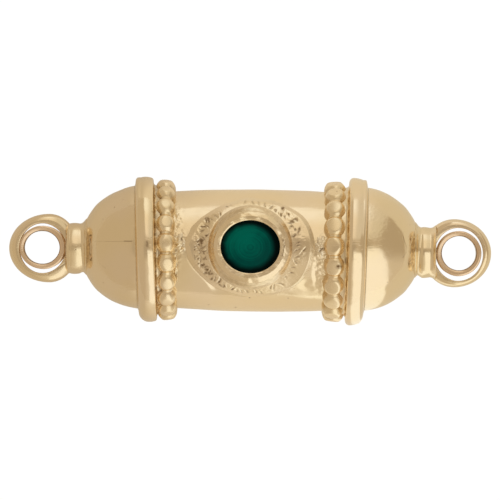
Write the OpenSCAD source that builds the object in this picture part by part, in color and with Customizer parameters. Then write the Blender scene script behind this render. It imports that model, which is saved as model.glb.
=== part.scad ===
// Gold tube connector bead with a round green cabochon and an eyelet at each end.
// Millimetres. The bead lies on the worn rims of its end caps, with the stone on top:
// X runs along the bead, Z points up, and the origin is on the surface under its middle.

/* [Barrel] */
// Largest outside diameter of the barrel
barrel_d = 7.6; // [7.5:0.05:7.7]
// Radius of the long arc along the barrel's side
barrel_arc_r = 80; // [60:5:200]
// Where the barrel is widest, from the middle of the bead
barrel_belly_x = 0.5; // [0:0.1:1]
// Thickness of the barrel's wall
barrel_wall = 0.4; // [0.3:0.05:0.5]
// Half of the barrel's length that shows, up to the end cap's face
barrel_half = 5.98; // [5.95:0.01:6]

/* [Raised seat round the setting] */
// Length of the eye-shaped seat, from tip to tip
seat_len = 7.96; // [7.8:0.02:8.1]
// Length over which the seat's two side arcs would meet in points
seat_arc_len = 8.4; // [8.2:0.1:8.8]
// Width of the seat across the barrel
seat_w = 6.05; // [5.9:0.05:6.2]
// How far the seat stands above the barrel
seat_rise = 0.32; // [0.25:0.01:0.4]
// Diameter of the seat's crown, outside which its ends slope down
seat_crown_d = 6.5; // [6.3:0.1:6.7]
// How far the setting sits off the barrel's axis
setting_off_y = 0.2; // [0:0.05:0.3]
// Number of grains cut round the setting
grain_n = 36; // [24:1:44]
// Radius of the tool that cuts between two grains
grain_cut_r = 0.14; // [0.08:0.02:0.16]

/* [Setting and stone] */
// Diameter of the bezel cup at its foot
bezel_foot_d = 5.2; // [5.1:0.05:5.3]
// Diameter of the bezel cup at its rim
bezel_rim_d = 4.64; // [4.6:0.02:4.7]
// Height of the rim above the barrel
bezel_rise = 1.02; // [0.95:0.01:1.1]
// Width of the rounded rim
bezel_rim_w = 0.2; // [0.16:0.02:0.24]
// Diameter of the opening over the stone
bezel_open_d = 3.5; // [3.4:0.05:3.6]
// Diameter of the stone
stone_d = 4; // [3.9:0.05:4.05]
// Height of the stone's girdle
girdle_h = 0.24; // [0.2:0.02:0.3]
// Height of the stone's dome above its girdle
dome_rise = 0.46; // [0.4:0.02:0.5]

/* [Beaded rings] */
// Number of beads round each ring
bead_n = 20; // [18:1:22]
// Diameter of each bead
bead_d = 1.24; // [1.16:0.02:1.28]
// Radius of the circle through the beads' centres
bead_circle_r = 3.75; // [3.7:0.01:3.8]
// Diameter of the wire that carries the beads
bead_wire_d = 0.9; // [0.8:0.05:1]
// Distance of each beaded ring from the middle of the bead
bead_ring_x = 5.31; // [5.3:0.01:5.33]

/* [End caps] */
// Height of the bead's axis over the surface, as the flats worn under the rims leave it
axis_z = 4.42; // [4.4:0.01:4.49]
// Diameter of the left cap's rim
rim_left_d = 9.02; // [8.9:0.02:9.2]
// Diameter of the right cap's rim
rim_right_d = 9.18; // [9:0.02:9.2]
// Width of a cap's rim
rim_w = 1.1; // [1.05:0.05:1.15]
// Radius of the rim's rounded edges
rim_round_r = 0.42; // [0.3:0.02:0.5]
// Radius of the domed end
dome_r = 3.85; // [3.82:0.01:3.88]
// Distance of the dome's centre from the middle of the bead
dome_x = 6.8; // [6.78:0.01:6.82]
// How far the left dome sits off the rim's centre
dome_left_off = 0.12; // [0:0.02:0.16]
// How far the right dome sits off the rim's centre
dome_right_off = 0.16; // [0:0.02:0.18]
// Thickness of a cap's wall
cap_wall = 0.4; // [0.35:0.05:0.45]

/* [Necks and eyelets] */
// Diameter of the short neck
neck_d = 3.08; // [3.04:0.02:3.1]
// How far the neck's collar swells past it
collar_swell = 0.05; // [0.04:0.01:0.07]
// Distance of each eyelet's hole from the middle of the bead
eye_x = 12.96; // [12.94:0.01:13]
// Diameter of an eyelet's hole
eye_hole_d = 2.12; // [2:0.02:2.2]
// Wall of the ring that lines the eyelet
liner_wall = 0.34; // [0.3:0.02:0.36]
// Height of the ring that lines the eyelet
liner_h = 1.4; // [1.3:0.05:1.5]
// Outside diameter of the eyelet's loop
loop_d = 4.32; // [4.26:0.02:4.36]
// Height of the eyelet's loop
loop_h = 1.3; // [1.2:0.05:1.4]
// Diameter of the loop's own opening, round the lining ring
loop_open_d = 3.16; // [3.1:0.02:3.2]

/* [Hidden] */

$fn = 144;
gold = "#c8a878";
rosy_gold = "#c79f78";
deep_green = "#004d42";
LEFT = -1;
RIGHT = 1;

fit = 0.02;
lap = 0.3;
far = 20;

barrel_r = barrel_d / 2;
barrel_bore_r = barrel_r - barrel_wall;
barrel_steps = 12;
spigot_r = barrel_bore_r + 0.04;
spigot_wall = 0.3;
spigot_len = 0.9;

seat_r = barrel_r + seat_rise;
seat_side_c = (pow(seat_arc_len / 2, 2) - pow(seat_w / 2, 2)) / seat_w;
seat_side_r = seat_side_c + seat_w / 2;
seat_slope = (seat_len - seat_crown_d) / 2 / (seat_rise + 0.03);
seat_bottom_z = 1.6;
cup_floor_z = 2.9;
grain_circle_r = bezel_foot_d / 2 + 0.34;
grain_cut_len = 0.8;

bearer_z = 3.84;
bearer_t = 0.2;
cup_wall = 0.45;
bezel_top_z = barrel_r + bezel_rise;
lip_r = bezel_open_d / 2;
stone_r = stone_d / 2;
girdle_z = bearer_z + fit + girdle_h;
stone_dome_r = (pow(stone_r, 2) + pow(dome_rise, 2)) / (2 * dome_rise);
stone_dome_c = girdle_z + dome_rise - stone_dome_r;
lip_z = stone_dome_c + sqrt(pow(stone_dome_r, 2) - pow(lip_r, 2)) + fit;
lip_h = 0.22;

rim_x = barrel_half + fit;
lip_w = 0.14;
lip_out = 0.17;
dome_end_x = dome_x + sqrt(pow(dome_r, 2) - pow(neck_d / 2, 2));

neck_end_x = eye_x - eye_hole_d / 2 - liner_wall - 0.03;
peg_r = 0.6;
peg_len = 0.7;
collar_len = 0.74;
collar_arc_r = (pow(collar_len / 2, 2) + pow(collar_swell, 2)) / (2 * collar_swell);
loop_x = eye_x - 0.13;
liner_r = eye_hole_d / 2 + liner_wall;
solder_w = 0.5;
solder_h = 0.8;

// Stands the bead's axis at its height above the surface, with the profile's Y along X.
module on_axis() {
    translate([0, 0, axis_z]) children();
}

// Revolves a profile drawn as [radius, distance along the bead] round the bead's axis.
module turned() {
    rotate([0, 90, 0]) rotate_extrude() children();
}

// Puts a piece that is drawn for the right end at the left or the right end.
module at_end(side) {
    mirror([side == LEFT ? 1 : 0, 0, 0]) children();
}

// A rectangle with round corners, by its lower corner and size.
module round_rect(low, size, r) {
    translate([low.x + r, low.y]) square([size.x - 2 * r, size.y]);
    translate([low.x, low.y + r]) square([size.x, size.y - 2 * r]);
    for (x = [low.x + r, low.x + size.x - r], y = [low.y + r, low.y + size.y - r])
        translate([x, y]) circle(r = r);
}

// The barrel's radius at a place along the bead: a slow arc, widest at the belly.
function barrel_r_at(x) =
    barrel_r - barrel_arc_r + sqrt(pow(barrel_arc_r, 2) - pow(x - barrel_belly_x, 2));

// Half of the barrel's long section, in short steps along the arc.
module barrel_section() {
    polygon([
        [0, -barrel_half],
        for (i = [0 : barrel_steps])
            let (x = -barrel_half + i * 2 * barrel_half / barrel_steps) [barrel_r_at(x), x],
        [0, barrel_half]
    ]);
}

// The eye-shaped outline of the seat: two arcs that meet past its tips.
module eye_outline() {
    intersection_for (side = [-1, 1])
        translate([0, side * seat_side_c]) circle(r = seat_side_r, $fn = 180);
}

// The seat wraps round the barrel, and its two ends slope down to it at the tips.
module seat() {
    intersection() {
        translate([0, setting_off_y, seat_bottom_z]) linear_extrude(far) eye_outline();
        rotate([0, 90, 0]) cylinder(r = seat_r, h = seat_len + 1, center = true);
        translate([0, setting_off_y, seat_bottom_z])
            cylinder(r1 = seat_crown_d / 2 + (seat_r - seat_bottom_z) * seat_slope,
                     r2 = seat_crown_d / 2, h = seat_r - seat_bottom_z);
    }
}

// The cuts between the grains: short round grooves that follow the seat's curve.
module grain_cuts() {
    for (i = [0 : grain_n - 1]) {
        angle = i * 360 / grain_n;
        y = setting_off_y + grain_circle_r * sin(angle);
        z = sqrt(pow(seat_r, 2) - pow(y, 2));
        fall = atan(y * sin(angle) / z);
        translate([grain_circle_r * cos(angle), y, z])
            rotate([0, 0, angle]) rotate([0, 90 + fall, 0])
                cylinder(r = grain_cut_r, h = grain_cut_len, center = true, $fn = 24);
    }
}

module barrel() {
    color(gold) on_axis() difference() {
        union() {
            turned() barrel_section();
            seat();
            rotate([0, 90, 0]) cylinder(r = spigot_r, h = 2 * (barrel_half + spigot_len), center = true);
        }
        rotate([0, 90, 0]) cylinder(r = spigot_r - spigot_wall, h = far * 2, center = true);
        rotate([0, 90, 0]) cylinder(r = barrel_bore_r, h = 2 * (barrel_half - lap), center = true);
        translate([0, setting_off_y, cup_floor_z]) cylinder(r = bezel_foot_d / 2 + fit, h = far);
        grain_cuts();
    }
}

// The cup: a leaning wall, a rounded rim, a gentle slope to the lip over the stone, and a bearer
// under the stone.
module bezel_cup() {
    rim_c = [bezel_rim_d / 2 - bezel_rim_w / 2, bezel_top_z - bezel_rim_w / 2];
    foot_z = cup_floor_z + fit;
    color(gold) on_axis() translate([0, setting_off_y, 0]) rotate_extrude() {
        difference() {
            union() {
                translate([0, foot_z]) square([bezel_foot_d / 2, seat_r - foot_z]);
                polygon([[0, seat_r], [bezel_foot_d / 2, seat_r], [bezel_rim_d / 2, rim_c.y], [0, rim_c.y]]);
                translate(rim_c) circle(d = bezel_rim_w);
            }
            polygon([[0, lip_z], [lip_r, lip_z], [lip_r, lip_z + lip_h],
                     [rim_c.x - bezel_rim_w / 2, rim_c.y], [0, rim_c.y]]);
            translate([0, bearer_z]) square([stone_r + fit, girdle_z - bearer_z + fit]);
            polygon([[0, girdle_z], [stone_r + fit, girdle_z + fit], [lip_r, lip_z], [0, lip_z]]);
            translate([0, foot_z]) square([bezel_foot_d / 2 - cup_wall, bearer_z - bearer_t - foot_z]);
            translate([0, rim_c.y]) square([rim_c.x, bezel_rim_w]);
        }
    }
}

// The cabochon: a straight girdle under a shallow dome.
module stone() {
    color(deep_green) on_axis() translate([0, setting_off_y, 0]) rotate_extrude() intersection() {
        translate([0, stone_dome_c]) circle(r = stone_dome_r, $fn = 180);
        translate([0, bearer_z + fit]) square([stone_r, far]);
    }
}

// A ring of round beads on a wire, bored to slip over the barrel's end.
module beaded_ring(side) {
    x = side * bead_ring_x;
    bore_r = barrel_r_at(side * (bead_ring_x - bead_d / 2)) + fit;
    color(gold) on_axis() difference() {
        union() {
            for (i = [0 : bead_n - 1])
                rotate([i * 360 / bead_n, 0, 0]) translate([x, 0, bead_circle_r]) sphere(d = bead_d, $fn = 28);
            turned() translate([bead_circle_r, x]) circle(d = bead_wire_d, $fn = 28);
        }
        rotate([0, 90, 0]) cylinder(r = bore_r, h = far, center = true);
    }
}

module beaded_ring_left() beaded_ring(LEFT);
module beaded_ring_right() beaded_ring(RIGHT);

// The rim and its thin lip, outside the mouth that slips over the barrel.
module cap_rim(rim_d) {
    turned() difference() {
        union() {
            round_rect([spigot_r - rim_round_r, rim_x], [rim_d / 2 - spigot_r + rim_round_r, rim_w], rim_round_r);
            translate([0, rim_x + rim_w / 2]) square([dome_r + lip_out, rim_w / 2 + lip_w]);
        }
        translate([-far, rim_x - 1]) square([far + spigot_r + fit, rim_w + lip_w + 2]);
    }
}

module cap_dome() {
    turned() difference() {
        intersection() {
            translate([0, dome_x]) circle(r = dome_r, $fn = 144);
            translate([0, rim_x + lap]) square([dome_r, dome_end_x - rim_x - lap]);
        }
        translate([0, dome_x]) circle(r = dome_r - cap_wall, $fn = 144);
        translate([0, rim_x]) square([dome_r - cap_wall, dome_x - rim_x]);
    }
}

// What wear has taken off the underside of the rim, where the bead rests.
module worn_flat() {
    translate([0, -far / 2, -axis_z - far]) cube(far);
}

module end_cap(side, rim_d, dome_off) {
    color(gold) on_axis() at_end(side) difference() {
        union() {
            cap_rim(rim_d);
            translate([0, dome_off, 0]) cap_dome();
        }
        translate([rim_x - 1, 0, 0]) rotate([0, 90, 0]) cylinder(r = spigot_r + fit, h = spigot_len + 1 + fit);
        rotate([0, 90, 0]) cylinder(r = peg_r + fit, h = far);
        worn_flat();
    }
}

module end_cap_left() end_cap(LEFT, rim_left_d, dome_left_off);
module end_cap_right() end_cap(RIGHT, rim_right_d, dome_right_off);

// The neck with its swelling collar, and the peg that is fixed in the cap.
module neck() {
    collar_mid = dome_end_x + 0.08 + collar_len / 2;
    turned() {
        translate([0, dome_end_x + fit]) square([neck_d / 2, neck_end_x - dome_end_x - fit]);
        intersection() {
            translate([neck_d / 2 + collar_swell - collar_arc_r, collar_mid]) circle(r = collar_arc_r, $fn = 180);
            translate([0, collar_mid - collar_len / 2]) square([neck_d, collar_len]);
        }
        translate([0, dome_end_x - peg_len]) square([peg_r, peg_len + lap]);
    }
}

// The loop's outer edge is half round, and its opening stops at the neck.
module loop() {
    difference() {
        translate([loop_x, 0, 0]) rotate_extrude() {
            translate([(loop_d - loop_h) / 2, 0]) circle(d = loop_h);
            translate([0, -loop_h / 2]) square([(loop_d - loop_h) / 2, loop_h]);
        }
        translate([eye_x, 0, 0]) cylinder(d = loop_open_d, h = far, center = true);
    }
}

// A ring with rounded edges that lines the loop.
module liner() {
    translate([eye_x, 0, 0]) rotate_extrude()
        translate([eye_hole_d / 2, -liner_h / 2]) {
            translate([0, liner_wall / 2]) square([liner_wall, liner_h - liner_wall]);
            for (z = [liner_wall / 2, liner_h - liner_wall / 2])
                translate([liner_wall / 2, z]) circle(d = liner_wall, $fn = 24);
        }
}

// The solder between the lining ring and what is round it, at one side of the hole.
module solder(from_eye) {
    translate([eye_x + from_eye, 0, 0]) cube([solder_w * 0.6, solder_w, solder_h], center = true);
}

module eyelet(side, far_solder) {
    color(rosy_gold) on_axis() at_end(side) {
        neck();
        loop();
        liner();
        solder(-liner_r);
        if (far_solder) solder(liner_r + 0.05);
    }
}

module eyelet_left() eyelet(LEFT, true);
module eyelet_right() eyelet(RIGHT, false);

barrel();
bezel_cup();
stone();
beaded_ring_left();
beaded_ring_right();
end_cap_left();
end_cap_right();
eyelet_left();
eyelet_right();
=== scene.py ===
import math

import bmesh
import bpy
import numpy as np
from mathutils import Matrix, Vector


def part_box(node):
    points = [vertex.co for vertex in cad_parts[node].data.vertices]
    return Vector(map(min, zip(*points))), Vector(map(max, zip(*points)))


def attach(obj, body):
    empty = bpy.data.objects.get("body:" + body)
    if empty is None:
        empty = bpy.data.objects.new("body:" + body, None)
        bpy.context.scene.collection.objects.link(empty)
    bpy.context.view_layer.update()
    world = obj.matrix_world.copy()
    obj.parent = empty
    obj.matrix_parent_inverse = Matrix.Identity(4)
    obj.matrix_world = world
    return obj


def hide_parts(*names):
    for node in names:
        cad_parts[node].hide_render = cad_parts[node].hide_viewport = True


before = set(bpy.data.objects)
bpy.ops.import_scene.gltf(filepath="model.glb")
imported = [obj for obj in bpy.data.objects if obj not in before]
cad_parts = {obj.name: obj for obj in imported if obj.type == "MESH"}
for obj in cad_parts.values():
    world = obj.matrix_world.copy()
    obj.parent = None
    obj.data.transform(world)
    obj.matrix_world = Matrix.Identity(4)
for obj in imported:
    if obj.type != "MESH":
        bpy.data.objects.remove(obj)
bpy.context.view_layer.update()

# Lengths are in millimetres as they stand, and the scene is in metres, so they are given to it times MM.
MM = 0.001
FULL_TURN = 2 * math.pi
LEFT, RIGHT = -1, 1
SIDE_NAMES = {LEFT: "left", RIGHT: "right"}


def size_along(node, axis):
    """A node's extent along an axis, from its lowest to its highest corner."""
    low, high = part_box(node)
    return (high[axis] - low[axis]) / MM


def middle(node, axis):
    low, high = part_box(node)
    return (low[axis] + high[axis]) / 2 / MM


# The tube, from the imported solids: X runs along it, and its axis lies over the floor.
TUBE_R = size_along("barrel", 1) / 2
AXIS_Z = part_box("barrel")[0].z / MM + TUBE_R
TUBE_HALF = 5.98
TUBE_WALL = 0.4
TUBE_ARC_R = 80
TUBE_BELLY_X = 0.5

# The setting on its raised seat. Heights are over the bead's axis.
SETTING_Y = middle("stone", 1)
BEZEL_FOOT_R = size_along("bezel_cup", 0) / 2
BEZEL_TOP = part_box("bezel_cup")[1].z / MM - AXIS_Z
STONE_R = size_along("stone", 0) / 2
STONE_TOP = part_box("stone")[1].z / MM - AXIS_Z
GIRDLE_LOW, GIRDLE_HIGH = 3.86, 4.2
CUP_FOOT_Z = 2.92
SEAT_RISE = 0.32
SEAT_BORDER_RISE = 0.14
SEAT_LEFT_HALF, SEAT_RIGHT_HALF, SEAT_HALF_W = 4.02, 3.97, 3.02
GRAIN_N = 44
GRAIN_IN_R, GRAIN_OUT_R = 2.64, 3.24

# The beaded rings and the end caps.
BEAD_N = 20
BEAD_CIRCLE_R = 3.75
BEAD_RING_X = middle("beaded_ring_right", 0) - 0.1
RIM_R = {side: size_along(f"end_cap_{SIDE_NAMES[side]}", 1) / 2 for side in SIDE_NAMES}
RIM_X = {LEFT: 5.9, RIGHT: 6.03}
RIM_W = {LEFT: 0.7, RIGHT: 0.85}
MOUTH_R = 3.46
FILLET_R = 3.98
DOME_START_X = {LEFT: 7.08, RIGHT: 7.2}
DOME_X = {LEFT: 6.754, RIGHT: 6.8}
DOME_R = {LEFT: 3.836, RIGHT: 3.85}
DOME_OFF = {LEFT: 0.12, RIGHT: 0.16}
FLAT_SIDE = {LEFT: 0.045, RIGHT: 0.012}
# How strong the painted shade is in the gap between each rim and its beads.
GAP_PAINTED_SHADE = {LEFT: 0.5, RIGHT: 0.15}
CAP_WALL = 0.4
PEG_HOLE_R = 0.64
RIM_LEAN = {LEFT: math.radians(2.1), RIGHT: math.radians(1.2)}
RING_LEAN = {LEFT: math.radians(1.3), RIGHT: math.radians(0.5)}

# The necks and eyelets.
NECK_R = 1.53
NECK_END_X = {LEFT: 11.46, RIGHT: 11.54}
LINER_H = 1.4
LOOP_H = 1.3
LOOP_END_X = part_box("eyelet_right")[1].x / MM
DOME_END_X = {side: DOME_X[side] + math.sqrt(DOME_R[side]**2 - NECK_R**2) for side in SIDE_NAMES}


def smooth_step(low, high, value):
    t = np.clip((value - low) / (high - low), 0, 1)
    return t * t * (3 - 2 * t)


def hump(value, centre, width):
    return np.exp(-(((value - centre) / width) ** 2))


def waves(points, length, seed, count=14):
    """Smooth hand-made unevenness about -1 to 1, whose swells are about a length long."""
    rng = np.random.default_rng(seed)
    ways = rng.normal(size=(count, 3))
    ways /= np.linalg.norm(ways, axis=1, keepdims=True)
    ways *= FULL_TURN / length * rng.uniform(0.7, 1.5, (count, 1))
    starts = rng.uniform(0, FULL_TURN, count)
    return np.sin(points @ ways.T + starts).sum(axis=-1) / count**0.5


def patch(points, centre, reach):
    """1 at a place in plan and 0 past its reach, on the upper side of the bead alone."""
    share = np.hypot((points[..., 0] - centre[0]) / reach[0], (points[..., 1] - centre[1]) / reach[1])
    return (1 - smooth_step(0.3, 1, share)) * (points[..., 2] > AXIS_Z)


def bump_at(points, x, y, reach):
    """A round hump at a place in plan."""
    return hump(np.hypot(points[..., 0] - x, points[..., 1] - y), 0, reach)


def spaced(points, step):
    """The same line with no two neighbours more than a step apart."""
    made = [points[0]]
    for a, b in zip(points[:-1], points[1:]):
        a, b = np.array(a, float), np.array(b, float)
        n = max(1, math.ceil(np.linalg.norm(b - a) / step))
        made += [a + (b - a) * i / n for i in range(1, n + 1)]
    return np.array(made)


def spaced_ring(points, step):
    """The same closed line, whose last point is joined to its first."""
    return spaced(np.vstack([points, points[:1]]), step)[:-1]


def rounded(corners, arc_steps=8):
    """A line through corners of (along, radius, rounding), with an arc at each inner corner."""
    points = [np.array(corners[0][:2], float)]
    for before, corner, after in zip(corners[:-2], corners[1:-1], corners[2:]):
        c = np.array(corner[:2], float)
        if corner[2] <= 0:
            points.append(c)
            continue
        u, v = np.array(before[:2]) - c, np.array(after[:2]) - c
        reach = min(np.linalg.norm(u), np.linalg.norm(v)) * 0.999
        u, v = u / np.linalg.norm(u), v / np.linalg.norm(v)
        half = math.acos(np.clip(u @ v, -1, 1)) / 2
        r = min(corner[2], reach * math.tan(half))
        centre = c + (u + v) / np.linalg.norm(u + v) * r / math.sin(half)
        start, end = c + u * r / math.tan(half) - centre, c + v * r / math.tan(half) - centre
        sweep = math.pi - 2 * half
        for t in np.arange(arc_steps + 1) / arc_steps:
            a, b = math.sin((1 - t) * sweep), math.sin(t * sweep)
            points.append(centre + (start * a + end * b) / math.sin(sweep))
    points.append(np.array(corners[-1][:2], float))
    return np.array(points)


def smooth_curve(x, knots):
    """A smooth line through knots of (x, y), level with its neighbours' slope at each."""
    slopes = np.gradient(knots[:, 1], knots[:, 0])
    at = np.clip(np.searchsorted(knots[:, 0], x) - 1, 0, len(knots) - 2)
    span = knots[at + 1, 0] - knots[at, 0]
    t = (x - knots[at, 0]) / span
    return ((1 + 2 * t) * (1 - t) ** 2 * knots[at, 1] + t * (1 - t) ** 2 * span * slopes[at]
            + t**2 * (3 - 2 * t) * knots[at + 1, 1] + t**2 * (t - 1) * span * slopes[at + 1])


def quarter_drop(depth_in, r):
    """How far a round edge of radius r has dropped at a depth in from its corner."""
    t = np.clip(depth_in, 0, r)
    return r - np.sqrt(np.maximum(r**2 - t**2, 0))


def full_circle(count):
    return np.arange(count) * FULL_TURN / count


def turned(outline, columns, gathered=0.0):
    """Revolves points of (along, radius) round the bead's axis; a third value shifts a ring across.
    Gathered columns stand closer together on the upper side than underneath."""
    angle = full_circle(columns)
    angle = angle - gathered * np.sin(angle)
    along, radius = outline[:, 0, None], outline[:, 1, None]
    off = outline[:, 2, None] if outline.shape[1] > 2 else 0
    return stacked(along, off + radius * np.sin(angle), AXIS_Z + radius * np.cos(angle))


def upright(outline, columns, y=0.0):
    """Revolves points of (radius, height over the bead's axis) round an upright line."""
    angle = full_circle(columns)
    radius, height = outline[:, 0, None], outline[:, 1, None]
    return stacked(radius * np.cos(angle), y + radius * np.sin(angle), AXIS_Z + height)


def stacked(*parts):
    return np.stack(np.broadcast_arrays(*parts), -1)


def push_out(grid, distance):
    """Moves points away from the bead's axis."""
    radial = (grid - np.array([0, 0, AXIS_Z])) * [0, 1, 1]
    grid += radial / np.linalg.norm(radial, axis=-1, keepdims=True) * distance[..., None]


def make_piece(name, grid, material, slot, node, closed=True, **shades):
    """A closed shell over a grid of points, rows by columns, that stands for a node of the frame.
    Each shade is a number kept at every point, which the material reads."""
    rows, columns = grid.shape[:2]
    row = np.arange(rows if closed else rows - 1)[:, None]
    column = np.arange(columns)[None, :]
    below, beside = (row + 1) % rows * columns, (column + 1) % columns
    faces = stacked(row * columns + column, below + column, below + beside, row * columns + beside)
    mesh = bpy.data.meshes.new(name)
    mesh.from_pydata((grid.reshape(-1, 3) * MM).tolist(), [], faces.reshape(-1, 4).tolist())
    for key, values in shades.items():
        keep_shade(mesh, key, np.broadcast_to(values, grid.shape[:2]))
    work = bmesh.new()
    work.from_mesh(mesh)
    bmesh.ops.remove_doubles(work, verts=work.verts, dist=0.0001 * MM)
    bmesh.ops.recalc_face_normals(work, faces=work.faces)
    for face in work.faces:
        face.smooth = True
    work.to_mesh(mesh)
    work.free()
    mesh.materials.append(material)
    place(link_new(name, mesh), node)


def link_new(name, data):
    made = bpy.data.objects.new(name, data)
    bpy.context.scene.collection.objects.link(made)
    return made


def keep_shade(mesh, key, values):
    mesh.attributes.new(key, "FLOAT", "POINT").data.foreach_set("value", values.ravel().astype(np.float32))


def place(piece, node):
    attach(piece, "root")
    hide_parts(node)


class Value:
    """A number that runs through a node tree: sums and products with it make maths nodes."""

    def __init__(self, graph, socket):
        self.graph, self.socket = graph, socket

    def __add__(self, other):
        return self.graph.math("ADD", self, other)

    def __sub__(self, other):
        return self.graph.math("SUBTRACT", self, other)

    def __mul__(self, other):
        return self.graph.math("MULTIPLY", self, other)

    def __truediv__(self, other):
        return self.graph.math("DIVIDE", self, other)

    def __rtruediv__(self, other):
        return self.graph.math("DIVIDE", other, self)


class Graph:
    """A node tree in the making. An input is a plain value or a Value from another node."""

    def __init__(self, tree):
        self.tree = tree

    def fill(self, node, **inputs):
        """An underscore in an input's name stands for a space, and i1 is a place in the list."""
        for key, value in inputs.items():
            at = int(key[1:]) if key[0] == "i" and key[1:].isdigit() else key.replace("_", " ")
            if isinstance(value, Value):
                self.tree.links.new(value.socket, node.inputs[at])
            else:
                node.inputs[at].default_value = value

    def add(self, kind, settings=None, **inputs):
        """A new node; a kind with no family named is a shader node."""
        node = self.tree.nodes.new(kind if "Node" in kind else "ShaderNode" + kind)
        for key, value in (settings or {}).items():
            setattr(node, key, value)
        self.fill(node, **inputs)
        return node

    def get(self, kind, output, settings=None, **inputs):
        """One output of a new node."""
        return Value(self, self.add(kind, settings, **inputs).outputs[output])

    def group(self, tree, **inputs):
        """The outputs of a node group, by name."""
        made = self.add("Group", {"node_tree": tree}, **inputs)
        return {socket.name: Value(self, socket) for socket in made.outputs}

    def math(self, operation, *values):
        return self.get("Math", 0, {"operation": operation}, **{f"i{n}": v for n, v in enumerate(values)})

    def vector(self, operation, *values):
        """A vector sum; LENGTH, DISTANCE and DOT_PRODUCT give a number."""
        output = "Value" if operation in ("LENGTH", "DISTANCE", "DOT_PRODUCT") else "Vector"
        return self.get("VectorMath", output, {"operation": operation},
                        **{f"i{n}": v for n, v in enumerate(values)})

    def combine(self, x, y, z):
        return self.get("CombineXYZ", 0, i0=x, i1=y, i2=z)

    def separate(self, vector):
        parts = self.add("SeparateXYZ", i0=vector)
        return [Value(self, socket) for socket in parts.outputs]

    def noise(self, vector, scale, detail):
        return self.get("TexNoise", 0, Vector=vector, Scale=scale, Detail=detail)

    def remap(self, value, from_low, from_high, to_low=0.0, to_high=1.0):
        return self.get("MapRange", "Result", {"interpolation_type": "SMOOTHSTEP"}, Value=value,
                        From_Min=from_low, From_Max=from_high, To_Min=to_low, To_Max=to_high)

    def mix(self, share, first, second):
        """The first colour where the share is 0, and the second where it is 1."""
        return self.get("Mix", 2, {"data_type": "RGBA", "clamp_factor": True}, Factor=share,
                        i6=first, i7=second)

    def camera_mix(self, others, camera):
        """What reflections see, and what the camera itself sees."""
        seen = self.get("LightPath", "Is Camera Ray")
        return self.get("MixShader", 0, i0=seen, i1=others, i2=camera)


def new_group(name, kind, inputs, outputs):
    """A node group with named sockets: its graph, its inputs by name, and its output node. The kind
    of an input follows from its value: a number, a vector of 3, a colour of 4, or a material."""
    tree = bpy.data.node_groups.new(name, kind + "NodeTree")
    for label, value in inputs.items():
        socket = {int: "Int", float: "Float", type(None): "Material"}.get(type(value))
        socket = socket or ("Vector" if len(value) == 3 else "Color")
        made = tree.interface.new_socket(label, in_out="INPUT", socket_type="NodeSocket" + socket)
        if value is not None:
            made.default_value = value
    for label, socket in outputs.items():
        tree.interface.new_socket(label, in_out="OUTPUT", socket_type="NodeSocket" + socket)
    graph = Graph(tree)
    given = {socket.name: Value(graph, socket) for socket in tree.nodes.new("NodeGroupInput").outputs}
    return graph, given, tree.nodes.new("NodeGroupOutput")


def open_tree(owner):
    """The emptied node tree of a new material or world."""
    owner.use_nodes = True
    owner.node_tree.nodes.clear()
    return Graph(owner.node_tree)


ORIGIN = (0.0, 0.0, 0.0)
WHITE = (1, 1, 1, 1)


def hand_polish_group():
    """The marks of wear on polished gold: faint swells, small pits and fine scratches, and where the
    gold was worked hard, a close rough grain."""
    g, at, out = new_group("hand polish", "Shader", {
        "Vector": ORIGIN, "Worked": 0.0, "Swell Size": 0.5 * MM, "Swell Height": 0.2,
        "Pit Spacing": 0.6 * MM, "Pit Depth": 1.0, "Scratch Depth": 0.2,
        "Smooth Roughness": 0.1, "Worn Roughness": 0.25,
    }, {"Height": "Float", "Roughness": "Float", "Pits": "Float"})
    swell = g.noise(at["Vector"], 1.0 / at["Swell Size"], 2.0)
    cells = g.add("TexVoronoi", Vector=at["Vector"], Scale=1.0 / at["Pit Spacing"])
    chance = g.get("SeparateColor", 0, Color=Value(g, cells.outputs["Color"]))
    pit = g.remap(Value(g, cells.outputs["Distance"]), 0.03, 0.11, 1.0, 0.0) * g.remap(chance, 0.6, 0.95)
    streaks = g.get("Mapping", 0, Vector=at["Vector"], Rotation=(0.3, 0.5, 0.9),
                    Scale=(900.0, 14000.0, 9000.0))
    scratch = g.remap(g.noise(streaks, 1.0, 1.0), 0.62, 0.72)
    grain = g.noise(at["Vector"], 5500.0, 4.0)
    height = swell * at["Swell Height"] - pit * at["Pit Depth"] - scratch * at["Scratch Depth"]
    worn = g.remap(g.noise(at["Vector"], 700.0, 4.0), 0.35, 0.7)
    rough = worn * (at["Worn Roughness"] - at["Smooth Roughness"]) + at["Smooth Roughness"]
    g.fill(out, Height=height + grain * (at["Worked"] * 6.0), Pits=pit,
           Roughness=pit * 0.3 + at["Worked"] * 0.15 + rough)
    return g.tree


def painted_shade_group():
    """Gold's colour, a little uneven, with brown painted shade where the surface is sunk and in pits: the
    shade and gold-on-gold reflection of hollows, painted into the colour.
    """
    g, at, out = new_group("painted shade in hollows", "Shader", {
        "Vector": ORIGIN, "Gold": WHITE, "Rosy Gold": WHITE, "Tarnish": (0.1, 0.05, 0.02, 1),
        "Sunk": 0.0, "Pits": 0.0,
    }, {"Color": "Color"})
    tone = g.mix(g.remap(g.noise(at["Vector"], 260.0, 3.0), 0.38, 0.66), at["Gold"], at["Rosy Gold"])
    patchy = g.remap(g.noise(at["Vector"], 5200.0, 3.0), 0.3, 0.62, 0.25, 1.0)
    # The share of painted shade: patchy where the surface is sunk, and half in pits.
    painted_shade_share = g.math("MAXIMUM", at["Sunk"] * patchy, at["Pits"] * 0.5)
    g.fill(out, Color=g.mix(painted_shade_share, tone, at["Tarnish"]))
    return g.tree


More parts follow.
